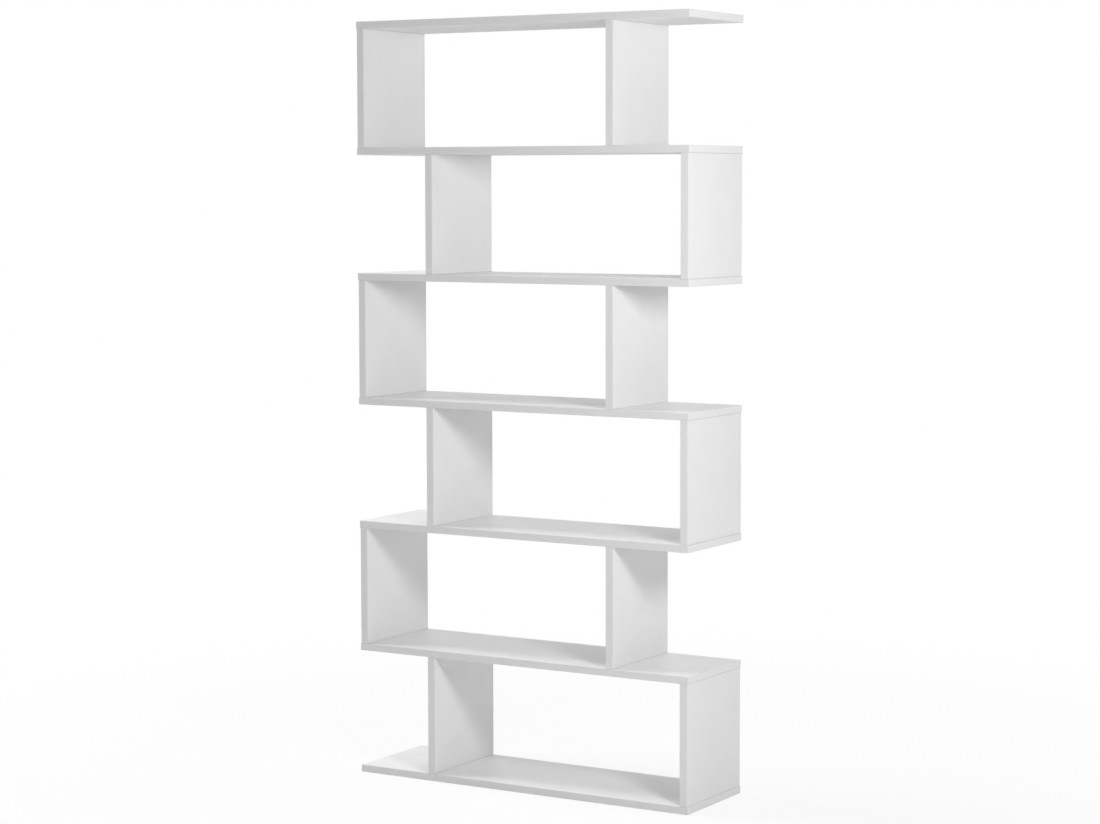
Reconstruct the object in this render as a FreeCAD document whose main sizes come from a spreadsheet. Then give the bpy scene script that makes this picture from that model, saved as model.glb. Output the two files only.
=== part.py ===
# Zigzag bookshelf: seven shelves on twelve uprights that step in and out from tier to tier.
# Millimetres. X runs along the shelves, Y to the back and Z up, from the middle of the base's underside.
import FreeCAD
import Part
import os
import Sketcher

SIZES = {
    # Boards, measured over their edge bands
    "shelf_length": 950,
    "panel_depth": 272,
    "shelf_thickness": 18,
    "upright_thickness": 20,
    # From a shelf's top to the underside of the next one, which is an upright's height
    "clear_height": 296,
    # How far the shelf ends stand out past the outer uprights
    "end_reveal": 2,
    # From a shelf's end to the near face of the inner upright
    "inner_offset": 206,
    # Plastic strips glued to the board edges, and the width of their eased corners
    "band_thickness": 2,
    "band_arris": 0.8,
    # Biscuits, the lens-shaped wooden keys glued half into a shelf and half into an upright's end
    "biscuit_length": 56,
    "biscuit_width": 23,
    "biscuit_thickness": 4,
    # From the middle of the depth to the middle of a biscuit
    "biscuit_offset": 72,
    # The disc cutter that makes the slots, and the room that a slot leaves for glue
    "cutter_radius": 50,
    "slot_play": 0.1,
    "slot_relief": 0.5,
}

TIERS = 6
UPRIGHTS_BY_TIER = (("inner_left", "outer_right"), ("outer_left", "inner_right"))

# Sizes worked out from the driving ones
CORE_LENGTH = "Sizes.shelf_length - 2 * Sizes.band_thickness"
CORE_DEPTH = "Sizes.panel_depth - 2 * Sizes.band_thickness"
TO_FRONT_BAND = "(Sizes.panel_depth - Sizes.band_thickness) / 2"
TO_END_BAND = "(Sizes.shelf_length - Sizes.band_thickness) / 2"
TIER_PITCH = "(Sizes.clear_height + Sizes.shelf_thickness)"
SLOT_WIDTH = "(Sizes.biscuit_thickness + Sizes.slot_play)"
CUTTER_LIFT = "(Sizes.cutter_radius - Sizes.biscuit_width / 2 - Sizes.slot_relief)"

# Middle of each upright along X
OUTER_X = "(Sizes.shelf_length / 2 - Sizes.end_reveal - Sizes.upright_thickness / 2)"
INNER_X = "(Sizes.shelf_length / 2 - Sizes.inner_offset - Sizes.upright_thickness / 2)"
UPRIGHT_X = {
    "outer_left": "-" + OUTER_X,
    "inner_left": "-" + INNER_X,
    "inner_right": INNER_X,
    "outer_right": OUTER_X,
}
BISCUIT_Y = ("-Sizes.biscuit_offset", "Sizes.biscuit_offset")

X_AXIS = FreeCAD.Vector(1, 0, 0)
Y_AXIS = FreeCAD.Vector(0, 1, 0)
Z_AXIS = FreeCAD.Vector(0, 0, 1)
document = FreeCAD.newDocument("ZigzagBookshelf")
nodes = []


def add_sizes():
    sheet = document.addObject("Spreadsheet::Sheet", "Sizes")
    for row, (alias, value) in enumerate(SIZES.items(), start=1):
        sheet.set(f"A{row}", alias)
        sheet.set(f"B{row}", str(value))
        sheet.setAlias(f"B{row}", alias)
    document.recompute()


def shelf_bottom(level):
    return f"{level} * {TIER_PITCH}"


def upright_bottom(tier):
    return f"{shelf_bottom(tier)} + Sizes.shelf_thickness"


def place(piece, x="0", y="0", z="0"):
    for axis, expression in zip("xyz", (x, y, z)):
        piece.setExpression(f"Placement.Base.{axis}", expression)


def turn(piece, axis, degrees):
    piece.Placement = FreeCAD.Placement(FreeCAD.Vector(), FreeCAD.Rotation(axis, degrees))


def new_body(label):
    body = document.addObject("PartDesign::Body", label)
    body.Label = label
    return body


def sketch_on(body, name, role, lift="0"):
    """A sketch on one of the body's own planes, lifted along the plane's normal."""
    sketch = body.newObject("Sketcher::SketchObject", name)
    plane = next(feature for feature in body.Origin.OriginFeatures if feature.Role == role)
    sketch.AttachmentSupport = (plane, "")
    sketch.MapMode = "FlatFace"
    sketch.setExpression("AttachmentOffset.Base.z", lift)
    return sketch


def bind(sketch, constraint, name, expression):
    index = sketch.addConstraint(constraint)
    sketch.renameConstraint(index, name)
    sketch.setExpression(f"Constraints.{name}", expression)


def draw_rectangle(sketch, width, height):
    """A rectangle about the sketch's origin."""
    corners = [FreeCAD.Vector(x, y, 0) for x, y in ((-1, -1), (1, -1), (1, 1), (-1, 1))]
    for side in range(4):
        sketch.addGeometry(Part.LineSegment(corners[side], corners[(side + 1) % 4]))
    for side in range(4):
        sketch.addConstraint(Sketcher.Constraint("Coincident", side, 2, (side + 1) % 4, 1))
        sketch.addConstraint(Sketcher.Constraint("Vertical" if side % 2 else "Horizontal", side))
    sketch.addConstraint(Sketcher.Constraint("Symmetric", 0, 1, 2, 1, -1, 1))
    bind(sketch, Sketcher.Constraint("DistanceX", 0, 1, 0, 2, 2.0), "width", width)
    bind(sketch, Sketcher.Constraint("DistanceY", 1, 1, 1, 2, 2.0), "height", height)


def draw_circle(sketch, number, radius, across, along):
    circle = sketch.addGeometry(Part.Circle(FreeCAD.Vector(), Z_AXIS, 1))
    bind(sketch, Sketcher.Constraint("Radius", circle, 1.0), f"radius_{number}", radius)
    bind(sketch, Sketcher.Constraint("DistanceX", -1, 1, circle, 3, 0.0), f"across_{number}", across)
    bind(sketch, Sketcher.Constraint("DistanceY", -1, 1, circle, 3, 0.0), f"along_{number}", along)


def block(body, width, depth, height):
    """A block standing on the body's XY plane, centred on its Z axis."""
    outline = sketch_on(body, "outline", "XY_Plane")
    draw_rectangle(outline, width, depth)
    pad = body.newObject("PartDesign::Pad", "block")
    pad.Profile = outline
    pad.setExpression("Length", height)
    return pad


def cut_biscuit_slots(body, name, middle_x, cutter_height):
    """Two slots across X, left by a disc cutter whose axis lies outside the face that it enters."""
    sketch = sketch_on(body, name, "YZ_Plane", f"{middle_x} - {SLOT_WIDTH} / 2")
    for number, y in enumerate(BISCUIT_Y):
        draw_circle(sketch, number, "Sizes.cutter_radius", y, cutter_height)
    pocket = body.newObject("PartDesign::Pocket", name + "_slots")
    pocket.Profile = sketch
    pocket.setExpression("Length", SLOT_WIDTH)
    # The sketch lies on the slot's left side, and the cut runs to the right
    pocket.Reversed = True


def ease_edges(body, base, wanted):
    """Chamfers the edges whose two end points pass the test."""
    document.recompute()
    names = []
    for number, edge in enumerate(base.Shape.Edges, start=1):
        if wanted(*[vertex.Point for vertex in edge.Vertexes]):
            names.append(f"Edge{number}")
    chamfer = body.newObject("PartDesign::Chamfer", "arris")
    chamfer.Base = (base, names)
    chamfer.setExpression("Size", "Sizes.band_arris")


def group(label, pieces):
    """One node of separate solids."""
    compound = document.addObject("Part::Compound", label)
    compound.Label = label
    compound.Links = pieces
    nodes.append(compound)


def shelf_board(label, level, standing, hanging):
    """A shelf's board, slotted above for the uprights that stand on it and below for those that it lies on."""
    body = new_body(label)
    block(body, CORE_LENGTH, CORE_DEPTH, "Sizes.shelf_thickness")
    for upright in standing:
        cut_biscuit_slots(body, f"on_{upright}", UPRIGHT_X[upright], f"Sizes.shelf_thickness + {CUTTER_LIFT}")
    for upright in hanging:
        cut_biscuit_slots(body, f"under_{upright}", UPRIGHT_X[upright], "-" + CUTTER_LIFT)
    place(body, z=shelf_bottom(level))
    nodes.append(body)


def upright_board(label, tier, upright):
    """An upright's board, slotted in its foot and in its head."""
    body = new_body(label)
    block(body, "Sizes.upright_thickness", CORE_DEPTH, "Sizes.clear_height")
    cut_biscuit_slots(body, "foot", "0", "-" + CUTTER_LIFT)
    cut_biscuit_slots(body, "head", "0", f"Sizes.clear_height + {CUTTER_LIFT}")
    place(body, UPRIGHT_X[upright], z=upright_bottom(tier))
    nodes.append(body)


def on_outside(point):
    """Whether a corner of a strip, drawn with its glued face at +Y, lies on the outer face."""
    return point.y < 0


def shelf_bands(label, level):
    """Four strips round a shelf: the front and back ones run over the ends of the side ones."""
    sides = (
        ("front", 0, "0", "-" + TO_FRONT_BAND),
        ("right", 90, TO_END_BAND, "0"),
        ("back", 180, "0", TO_FRONT_BAND),
        ("left", 270, "-" + TO_END_BAND, "0"),
    )
    strips = []
    for side, degrees, x, y in sides:
        strip = new_body(f"{label}_{side}")
        if side in ("front", "back"):
            blank = block(strip, "Sizes.shelf_length", "Sizes.band_thickness", "Sizes.shelf_thickness")
            ease_edges(strip, blank, lambda a, b: on_outside(a) or on_outside(b))
        else:
            blank = block(strip, CORE_DEPTH, "Sizes.band_thickness", "Sizes.shelf_thickness")
            ease_edges(strip, blank, lambda a, b: on_outside(a) and on_outside(b) and a.x * b.x < 0)
        turn(strip, Z_AXIS, degrees)
        place(strip, x, y, shelf_bottom(level))
        strips.append(strip)
    group(label, strips)


def upright_bands(label, tier, upright):
    """The strips on an upright's front and back edges."""
    strips = []
    for side, degrees, y in (("front", 0, "-" + TO_FRONT_BAND), ("back", 180, TO_FRONT_BAND)):
        strip = new_body(f"{label}_{side}")
        blank = block(strip, "Sizes.upright_thickness", "Sizes.band_thickness", "Sizes.clear_height")
        ease_edges(strip, blank, lambda a, b: on_outside(a) and on_outside(b) and a.x * b.x > 0)
        turn(strip, Z_AXIS, degrees)
        place(strip, UPRIGHT_X[upright], y, upright_bottom(tier))
        strips.append(strip)
    group(label, strips)


def biscuit_pattern():
    """One biscuit about the origin: where two discs of the cutter's size overlap, with its tips cut blunt."""
    shapes = []
    disc_lift = "(Sizes.cutter_radius - Sizes.biscuit_width / 2)"
    left_side = "-Sizes.biscuit_thickness / 2"
    for name, z in (("lower_disc", "-" + disc_lift), ("upper_disc", disc_lift)):
        disc = document.addObject("Part::Cylinder", name)
        disc.setExpression("Radius", "Sizes.cutter_radius")
        disc.setExpression("Height", "Sizes.biscuit_thickness")
        turn(disc, Y_AXIS, 90)
        place(disc, left_side, z=z)
        shapes.append(disc)
    tips = document.addObject("Part::Box", "blunt_tips")
    tips.setExpression("Length", "Sizes.biscuit_thickness")
    tips.setExpression("Width", "Sizes.biscuit_length")
    tips.setExpression("Height", "Sizes.biscuit_width")
    place(tips, left_side, "-Sizes.biscuit_length / 2", "-Sizes.biscuit_width / 2")
    shapes.append(tips)
    biscuit = document.addObject("Part::MultiCommon", "biscuit")
    biscuit.Shapes = shapes
    return biscuit


def biscuits(label, pattern, uprights, height):
    """The biscuits at one end of a tier's two uprights."""
    copies = []
    for upright in uprights:
        for y in BISCUIT_Y:
            copy = document.addObject("App::Link", f"{label}_{upright}")
            copy.LinkedObject = pattern
            place(copy, UPRIGHT_X[upright], y, height)
            copies.append(copy)
    group(label, copies)


def build():
    add_sizes()
    tiers = [UPRIGHTS_BY_TIER[tier % 2] for tier in range(TIERS)]
    for level in range(TIERS + 1):
        label = f"shelf_{level + 1}"
        standing = tiers[level] if level < TIERS else ()
        hanging = tiers[level - 1] if level > 0 else ()
        shelf_board(label, level, standing, hanging)
        shelf_bands(f"{label}_edge_bands", level)
    pattern = biscuit_pattern()
    for tier, uprights in enumerate(tiers):
        for upright in uprights:
            label = f"tier_{tier + 1}_{upright}_upright"
            upright_board(label, tier, upright)
            upright_bands(f"{label}_edge_bands", tier, upright)
        biscuits(f"tier_{tier + 1}_foot_biscuits", pattern, uprights, upright_bottom(tier))
        biscuits(f"tier_{tier + 1}_head_biscuits", pattern, uprights, shelf_bottom(tier + 1))
    document.recompute()


def check():
    for piece in document.Objects:
        if "Invalid" in piece.State or "Error" in piece.State:
            raise RuntimeError(f"{piece.Label} failed: {piece.State}")
        if piece.TypeId == "PartDesign::Pocket" and piece.Shape.Volume >= piece.BaseFeature.Shape.Volume:
            raise RuntimeError(f"{piece.Label} cuts nothing")
    for node in nodes:
        if node.Shape.isNull() or not node.Shape.isValid():
            raise RuntimeError(f"{node.Label} has no valid shape")


def write():
    os.makedirs("parts", exist_ok=True)
    for node in nodes:
        node.Shape.exportStep(os.path.join("parts", node.Label + ".step"))


build()
check()
write()
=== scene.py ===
# Zigzag bookshelf: the finishes of its boards, edge bands and biscuits, with studio light and camera.
# Metres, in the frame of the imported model: X along the shelves, Y to the back, Z up from the floor.
import math

import bmesh
import bpy
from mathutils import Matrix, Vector

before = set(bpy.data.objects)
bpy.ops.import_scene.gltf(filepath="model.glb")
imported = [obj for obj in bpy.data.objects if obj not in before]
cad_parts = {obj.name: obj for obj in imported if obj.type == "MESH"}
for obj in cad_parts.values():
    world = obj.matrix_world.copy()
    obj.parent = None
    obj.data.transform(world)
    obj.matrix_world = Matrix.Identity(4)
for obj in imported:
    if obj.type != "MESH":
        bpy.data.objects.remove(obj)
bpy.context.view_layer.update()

MM = 0.001

# Camera, found from the board edges in the picture, which is taken to be this many pixels wide.
# It sees past the edge of the floor.
PICTURE_WIDTH = 1100
SENSOR_WIDTH = 36.0
FOCAL_PIXELS = 2658.613
CAMERA_PLACE = (3.464049, -5.598533, 1.485210)
CAMERA_YAW = 30.305
CAMERA_PITCH = 4.704
CAMERA_SHIFT = (-0.05777, -0.00393)
CAMERA_REACH = 200

# Boards: the step from shelf to shelf, half a shelf's thickness, which is also how high the middle of the
# lowest one lies, and how far from the middle of the depth the front and back edge bands start
SHELF_PITCH = 314 * MM
SHELF_MIDDLE = 9 * MM
BAND_SEAM = 134 * MM

# Lines on the boards: the width of the glue beside a band, and how far from a shelf the shadow where
# an upright meets it starts to fade and ends
GLUE_LINE = 0.5 * MM
SHADOW_CORE, SHADOW_END = 0.7 * MM, 1.2 * MM

# Scales along X, Y and Z that draw a pattern out along a piece: the scraper lines on the bands, and the
# flecks in the beech
LEVEL_LINES = (0.02, 0.02, 1.0)
UPRIGHT_LINES = (1.0, 1.0, 0.02)
BEECH_FLECKS = (1.0, 0.12, 1.0)

# Floor: a disc just below the shelf, how much of it is plain white to the camera near the shelf, and
# the distances between which it turns wholly white
FLOOR_RADIUS = 60.0
FLOOR_SIDES = 96
FLOOR_GAP = 0.5 * MM
WHITE_NEAR = 0.85
WHITE_FROM, WHITE_TO = 0.8, 2.6

# Light: its levels from the right, the back and above, and the lamps, each with its place, the point
# that it faces, its width, height and power in watts
ROOM_LEVELS = (0.33, 1.38, 0.39)
SOFTBOXES = (
    ("key_softbox", (2.01, -1.33, 1.715), (0, 0, 0.95), 0.42, 0.52, 27.4),
    ("left_softbox", (-5.97, -0.90, 8.84), (-0.3, 0, 0.65), 3.6, 3.6, 650.0),
)


def linear(hex_colour):
    """An sRGB hex colour as the linear RGBA that Blender's sockets take."""
    channels = [int(hex_colour[i:i + 2], 16) / 255 for i in (1, 3, 5)]
    return [c / 12.92 if c <= 0.04045 else ((c + 0.055) / 1.055) ** 2.4 for c in channels] + [1.0]


def per_metre(millimetres):
    """The scale of a pattern whose features are this many millimetres apart."""
    return 1 / (millimetres * MM)


def add_node(tree, kind, inputs=None, **settings):
    """Adds a node with its settings. An input is a value, or the output of another node."""
    node = tree.nodes.new(kind)
    for name, value in settings.items():
        setattr(node, name, value)
    for socket, value in (inputs or {}).items():
        if isinstance(value, bpy.types.NodeSocket):
            tree.links.new(value, node.inputs[socket])
        else:
            node.inputs[socket].default_value = value
    return node


def new_material(name):
    """A material with no nodes yet, and its node tree."""
    material = bpy.data.materials.new(name)
    material.use_nodes = True
    material.node_tree.nodes.clear()
    return material, material.node_tree


def melamine_faced_board(name, upright):
    """Chipboard faced with white melamine paper, pressed hot against a pearl-grained plate: an even,
    semi-matt white whose fine pebbling softens reflections, with a trace of cloudiness from the chips
    below. A hairline of glue shows beside the edge bands, and one of shadow where an upright meets a
    shelf."""
    material, tree = new_material(name)
    place = add_node(tree, "ShaderNodeTexCoord").outputs["Object"]
    cloud = add_node(tree, "ShaderNodeTexNoise", {
        "Vector": place, "Scale": per_metre(70), "Detail": 3.0, "Roughness": 0.55,
    }).outputs["Fac"]
    colour = add_node(tree, "ShaderNodeMixRGB", {
        "Fac": cloud, "Color1": linear("#e9e9e9"), "Color2": linear("#eeeeee"),
    }).outputs["Color"]
    axes = add_node(tree, "ShaderNodeSeparateXYZ", {0: place}).outputs
    across = add_node(tree, "ShaderNodeMath", {0: axes["Y"]}, operation="ABSOLUTE").outputs["Value"]
    seam = add_node(tree, "ShaderNodeMapRange", {
        "Value": across, "From Min": BAND_SEAM - GLUE_LINE, "From Max": BAND_SEAM,
    }).outputs["Result"]
    colour = add_node(tree, "ShaderNodeMixRGB", {
        "Fac": seam, "Color1": colour, "Color2": linear("#d2d0cc"),
    }).outputs["Color"]
    if upright:
        # The real shadow is about 0.3 mm wide, drawn at 1.2 mm so that it shows
        level = add_node(tree, "ShaderNodeMath", {
            0: axes["Z"], 1: SHELF_MIDDLE,
        }, operation="SUBTRACT").outputs["Value"]
        reach = add_node(tree, "ShaderNodeMath", {
            0: level, 1: SHELF_PITCH / 2,
        }, operation="PINGPONG").outputs["Value"]
        hairline = add_node(tree, "ShaderNodeMapRange", {
            "Value": reach, "From Min": SHELF_MIDDLE + SHADOW_CORE, "From Max": SHELF_MIDDLE + SHADOW_END,
            "To Min": 1.0, "To Max": 0.0,
        }).outputs["Result"]
        colour = add_node(tree, "ShaderNodeMixRGB", {
            "Fac": hairline, "Color1": colour, "Color2": linear("#c4c4c3"),
        }).outputs["Color"]
    smear = add_node(tree, "ShaderNodeTexNoise", {
        "Vector": place, "Scale": per_metre(160), "Detail": 4.0, "Roughness": 0.6, "Distortion": 0.6,
    }).outputs["Fac"]
    roughness = add_node(tree, "ShaderNodeMapRange", {
        "Value": smear, "From Min": 0.3, "From Max": 0.7, "To Min": 0.36, "To Max": 0.44,
    }).outputs["Result"]
    # The real pebbles are about 1 mm apart, drawn at 5 mm so that they show
    pebbles = add_node(tree, "ShaderNodeTexVoronoi", {
        "Vector": place, "Scale": per_metre(5), "Smoothness": 0.6,
    }, feature="SMOOTH_F1").outputs["Distance"]
    grain = add_node(tree, "ShaderNodeBump", {
        "Height": pebbles, "Strength": 0.6, "Distance": 0.3 * MM,
    }).outputs["Normal"]
    surface = add_node(tree, "ShaderNodeBsdfPrincipled", {
        "Base Color": colour, "Roughness": roughness, "Normal": grain, "IOR": 1.5,
    }).outputs["BSDF"]
    add_node(tree, "ShaderNodeOutputMaterial", {"Surface": surface})
    return material


def abs_edge_band(name, stretch):
    """White ABS strip, extruded, lacquered and then scraped flush: a touch glossier than the board, with
    faint scraper lines along its length, and duller at the eased corners, where the scraper has cut
    through the lacquer. The eased corners are also painted greyer: painted shade that dims their
    highlight."""
    material, tree = new_material(name)
    place = add_node(tree, "ShaderNodeTexCoord").outputs["Object"]
    along = add_node(tree, "ShaderNodeMapping", {"Vector": place, "Scale": stretch}).outputs["Vector"]
    # The real lines are about 0.2 mm apart, drawn at 2 mm so that they show
    lines = add_node(tree, "ShaderNodeTexNoise", {
        "Vector": along, "Scale": per_metre(2), "Detail": 2.0, "Roughness": 0.5,
    }).outputs["Fac"]
    colour = add_node(tree, "ShaderNodeMixRGB", {
        "Fac": lines, "Color1": linear("#e8e8e8"), "Color2": linear("#ededed"),
    }).outputs["Color"]
    roughness = add_node(tree, "ShaderNodeMapRange", {
        "Value": lines, "From Min": 0.3, "From Max": 0.7, "To Min": 0.32, "To Max": 0.40,
    }).outputs["Result"]
    # Only an eased corner faces along none of the three axes
    facing = add_node(tree, "ShaderNodeNewGeometry").outputs["True Normal"]
    turned = add_node(tree, "ShaderNodeVectorMath", {0: facing}, operation="ABSOLUTE").outputs["Vector"]
    axes = add_node(tree, "ShaderNodeSeparateXYZ", {0: turned}).outputs
    most = add_node(tree, "ShaderNodeMath", {
        0: axes["X"], 1: axes["Y"],
    }, operation="MAXIMUM").outputs["Value"]
    most = add_node(tree, "ShaderNodeMath", {0: most, 1: axes["Z"]}, operation="MAXIMUM").outputs["Value"]
    arris_shade_and_dullness = add_node(tree, "ShaderNodeMapRange", {
        "Value": most, "From Min": 0.99, "From Max": 0.93,
    }).outputs["Result"]
    # The scraper has cut deeper in some places than in others, and the painted shade on the corners varies
    # with it
    cut_depth_and_shade = add_node(tree, "ShaderNodeTexNoise", {
        "Vector": place, "Scale": per_metre(40), "Detail": 4.0, "Roughness": 0.65,
    }).outputs["Fac"]
    cut_depth_and_shade = add_node(tree, "ShaderNodeMapRange", {
        "Value": cut_depth_and_shade, "From Min": 0.35, "From Max": 0.6, "To Min": 0.5, "To Max": 1.0,
    }).outputs["Result"]
    arris_shade_and_dullness = add_node(tree, "ShaderNodeMath", {0: arris_shade_and_dullness, 1: cut_depth_and_shade}, operation="MULTIPLY").outputs["Value"]
    # Painted shade: the eased corners are greyed, which dims the highlight along them
    colour = add_node(tree, "ShaderNodeMixRGB", {
        "Fac": arris_shade_and_dullness, "Color1": colour, "Color2": linear("#e0e0e0"),
    }).outputs["Color"]
    roughness = add_node(tree, "ShaderNodeMix", {
        "Factor": arris_shade_and_dullness, "A": roughness, "B": 0.5,
    }).outputs["Result"]
    scrape = add_node(tree, "ShaderNodeBump", {
        "Height": lines, "Strength": 0.2, "Distance": 0.05 * MM,
    }).outputs["Normal"]
    surface = add_node(tree, "ShaderNodeBsdfPrincipled", {
        "Base Color": colour, "Roughness": roughness, "Normal": scrape, "IOR": 1.53,
    }).outputs["BSDF"]
    add_node(tree, "ShaderNodeOutputMaterial", {"Surface": surface})
    return material


def pressed_beech():
    """Beech, sawn into lens-shaped keys and pressed thin: pinkish tan with short dark flecks along the
    grain."""
    material, tree = new_material("pressed_beech")
    place = add_node(tree, "ShaderNodeTexCoord").outputs["Object"]
    along = add_node(tree, "ShaderNodeMapping", {
        "Vector": place, "Scale": BEECH_FLECKS,
    }).outputs["Vector"]
    flecks = add_node(tree, "ShaderNodeTexNoise", {
        "Vector": along, "Scale": per_metre(1.5), "Detail": 5.0, "Roughness": 0.65,
    }).outputs["Fac"]
    colour = add_node(tree, "ShaderNodeMixRGB", {
        "Fac": flecks, "Color1": linear("#a97a52"), "Color2": linear("#dcb891"),
    }).outputs["Color"]
    grain = add_node(tree, "ShaderNodeBump", {
        "Height": flecks, "Strength": 0.4, "Distance": 0.1 * MM,
    }).outputs["Normal"]
    surface = add_node(tree, "ShaderNodeBsdfPrincipled", {
        "Base Color": colour, "Roughness": 0.65, "Normal": grain, "IOR": 1.5,
    }).outputs["BSDF"]
    add_node(tree, "ShaderNodeOutputMaterial", {"Surface": surface})
    return material


def finish_boards():
    """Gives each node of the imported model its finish."""
    shelf_board = melamine_faced_board("white_melamine_shelf_board", upright=False)
    upright_board = melamine_faced_board("white_melamine_upright_board", upright=True)
    level_band = abs_edge_band("white_abs_band_level", LEVEL_LINES)
    upright_band = abs_edge_band("white_abs_band_upright", UPRIGHT_LINES)
    biscuit = pressed_beech()
    for name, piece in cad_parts.items():
        if name.endswith("biscuits"):
            finish, slot = biscuit, "biscuit"
        elif name.endswith("edge_bands"):
            finish, slot = (level_band if name.startswith("shelf") else upright_band), "edge_band"
        else:
            finish, slot = (shelf_board if name.startswith("shelf") else upright_board), "melamine_board"
        piece.data.materials.clear()
        piece.data.materials.append(finish)


def lay_floor():
    """A wide round floor of matt white paint, the same from every side. To the camera it is mostly plain
    white, and wholly so farther off, so that it meets the white surroundings without a line and a soft
    shadow stays."""
    material, tree = new_material("white_studio_floor")
    paint = add_node(tree, "ShaderNodeBsdfDiffuse", {"Color": linear("#eeeeee")}).outputs["BSDF"]
    white = add_node(tree, "ShaderNodeEmission").outputs["Emission"]
    place = add_node(tree, "ShaderNodeTexCoord").outputs["Object"]
    distance = add_node(tree, "ShaderNodeVectorMath", {0: place}, operation="LENGTH").outputs["Value"]
    share = add_node(tree, "ShaderNodeMapRange", {
        "Value": distance, "From Min": WHITE_FROM, "From Max": WHITE_TO,
        "To Min": WHITE_NEAR, "To Max": 1.0,
    }, interpolation_type="SMOOTHSTEP").outputs["Result"]
    seen = add_node(tree, "ShaderNodeLightPath").outputs["Is Camera Ray"]
    share = add_node(tree, "ShaderNodeMath", {0: share, 1: seen}, operation="MULTIPLY").outputs["Value"]
    surface = add_node(tree, "ShaderNodeMixShader", {0: share, 1: paint, 2: white}).outputs["Shader"]
    add_node(tree, "ShaderNodeOutputMaterial", {"Surface": surface})
    mesh = bpy.data.meshes.new("studio_floor")
    disc = bmesh.new()
    bmesh.ops.create_circle(disc, cap_ends=True, segments=FLOOR_SIDES, radius=FLOOR_RADIUS)
    bmesh.ops.translate(disc, verts=disc.verts, vec=(0, 0, -FLOOR_GAP))
    disc.to_mesh(mesh)
    disc.free()
    mesh.materials.append(material)
    floor = bpy.data.objects.new("studio_floor", mesh)
    bpy.context.scene.collection.objects.link(floor)


def hang_softbox(name, place, aim, width, height, watts):
    """A soft lamp facing a point. The camera doesn't see it and no board mirrors it, as a glare would wipe
    out white shelf tops before a white room."""
    lamp = bpy.data.lights.new(name, "AREA")
    lamp.shape = "RECTANGLE"
    lamp.size, lamp.size_y = width, height
    lamp.energy = watts
    softbox = bpy.data.objects.new(name, lamp)
    softbox.location = place
    softbox.rotation_euler = (Vector(aim) - Vector(place)).to_track_quat("-Z", "Y").to_euler()
    softbox.visible_camera = False
    softbox.visible_glossy = False
    bpy.context.scene.collection.objects.link(softbox)


def light_studio():
    """White surroundings, bright behind, less so to the right and above, with a lamp on either side. The
    camera sees them plain white."""
    world = bpy.data.worlds.new("white_studio")
    bpy.context.scene.world = world
    world.use_nodes = True
    tree = world.node_tree
    tree.nodes.clear()
    toward = add_node(tree, "ShaderNodeTexCoord").outputs["Generated"]
    lit = add_node(tree, "ShaderNodeVectorMath", {
        0: toward, 1: (0, 0, 0),
    }, operation="MAXIMUM").outputs["Vector"]
    spread = add_node(tree, "ShaderNodeVectorMath", {
        0: lit, 1: lit,
    }, operation="MULTIPLY").outputs["Vector"]
    level = add_node(tree, "ShaderNodeVectorMath", {
        0: spread, 1: ROOM_LEVELS,
    }, operation="DOT_PRODUCT").outputs["Value"]
    seen = add_node(tree, "ShaderNodeLightPath").outputs["Is Camera Ray"]
    strength = add_node(tree, "ShaderNodeMapRange", {
        "Value": seen, "To Min": level, "To Max": 1.0,
    }).outputs["Result"]
    room = add_node(tree, "ShaderNodeBackground", {
        "Color": (1, 1, 1, 1), "Strength": strength,
    }).outputs["Background"]
    add_node(tree, "ShaderNodeOutputWorld", {"Surface": room})
    for lamp in SOFTBOXES:
        hang_softbox(*lamp)
    bpy.context.scene.view_settings.view_transform = "Standard"


def place_camera():
    """The camera at the picture's viewing angle and framing."""
    lens = bpy.data.cameras.new("camera")
    lens.sensor_width = SENSOR_WIDTH
    lens.sensor_fit = "HORIZONTAL"
    lens.lens = SENSOR_WIDTH * FOCAL_PIXELS / PICTURE_WIDTH
    lens.shift_x, lens.shift_y = CAMERA_SHIFT
    lens.clip_end = CAMERA_REACH
    camera = bpy.data.objects.new("camera", lens)
    camera.location = CAMERA_PLACE
    camera.rotation_euler = (math.radians(90 - CAMERA_PITCH), 0, math.radians(CAMERA_YAW))
    bpy.context.scene.collection.objects.link(camera)
    bpy.context.scene.camera = camera


finish_boards()
lay_floor()
light_studio()
place_camera()
